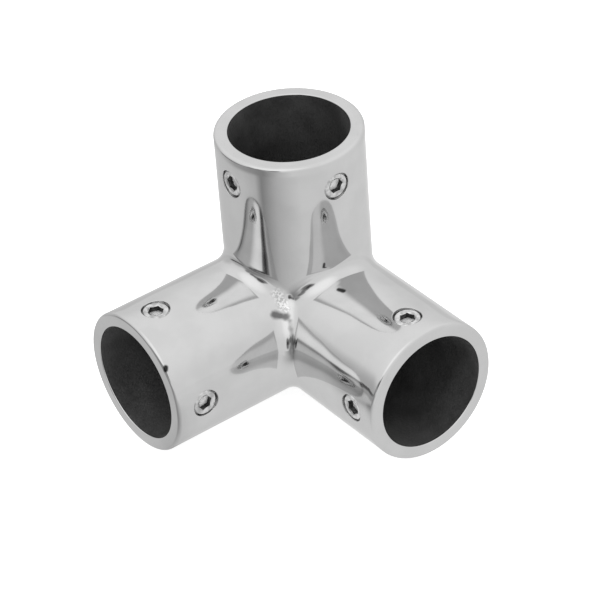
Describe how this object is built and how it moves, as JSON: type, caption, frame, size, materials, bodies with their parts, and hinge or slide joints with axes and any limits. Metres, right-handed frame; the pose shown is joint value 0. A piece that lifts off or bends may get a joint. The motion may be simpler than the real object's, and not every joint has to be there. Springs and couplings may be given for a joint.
{
  "type": "three-way tube connector",
  "caption": "Polished cast corner fitting that joins round tubes at right angles. Sockets with blind bores meet in one rounded casting, and set screws clamp each tube.",
  "frame": {"origin": "on the floor that the part stands on, under the middle of its bounding box", "axes": "+Z along the upright socket, +X along the left socket and +Y along the right socket, each out of the socket's mouth"},
  "size_m": [0.0598, 0.0598, 0.0597],
  "materials": {
    "polished_steel": "mirror-polished stainless steel, with as-cast bores",
    "screw_steel": "plain stainless steel with a turned face"
  },
  "bodies": {
    "casting": {"body": "polished_steel"},
    "upright_screw_left": {"upright_screw_left": "screw_steel"},
    "upright_screw_right": {"upright_screw_right": "screw_steel"},
    "left_screw_top": {"left_screw_top": "screw_steel"},
    "left_screw_side": {"left_screw_side": "screw_steel"},
    "right_screw_top": {"right_screw_top": "screw_steel"},
    "right_screw_side": {"right_screw_side": "screw_steel"}
  },
  "joints": [
    {"name": "upright_screw_left_travel", "type": "slide", "parent": "casting", "child": "upright_screw_left", "axis": [1, 0, 0], "range_m": [-0.0015, 0.002]},
    {"name": "upright_screw_right_travel", "type": "slide", "parent": "casting", "child": "upright_screw_right", "axis": [0, 1, 0], "range_m": [-0.0015, 0.002]},
    {"name": "left_screw_top_travel", "type": "slide", "parent": "casting", "child": "left_screw_top", "axis": [0, 0, 1], "range_m": [-0.0015, 0.002]},
    {"name": "left_screw_side_travel", "type": "slide", "parent": "casting", "child": "left_screw_side", "axis": [0, 1, 0], "range_m": [-0.0015, 0.002]},
    {"name": "right_screw_top_travel", "type": "slide", "parent": "casting", "child": "right_screw_top", "axis": [0, 0, 1], "range_m": [-0.0015, 0.002]},
    {"name": "right_screw_side_travel", "type": "slide", "parent": "casting", "child": "right_screw_side", "axis": [1, 0, 0], "range_m": [-0.0015, 0.002]}
  ]
}
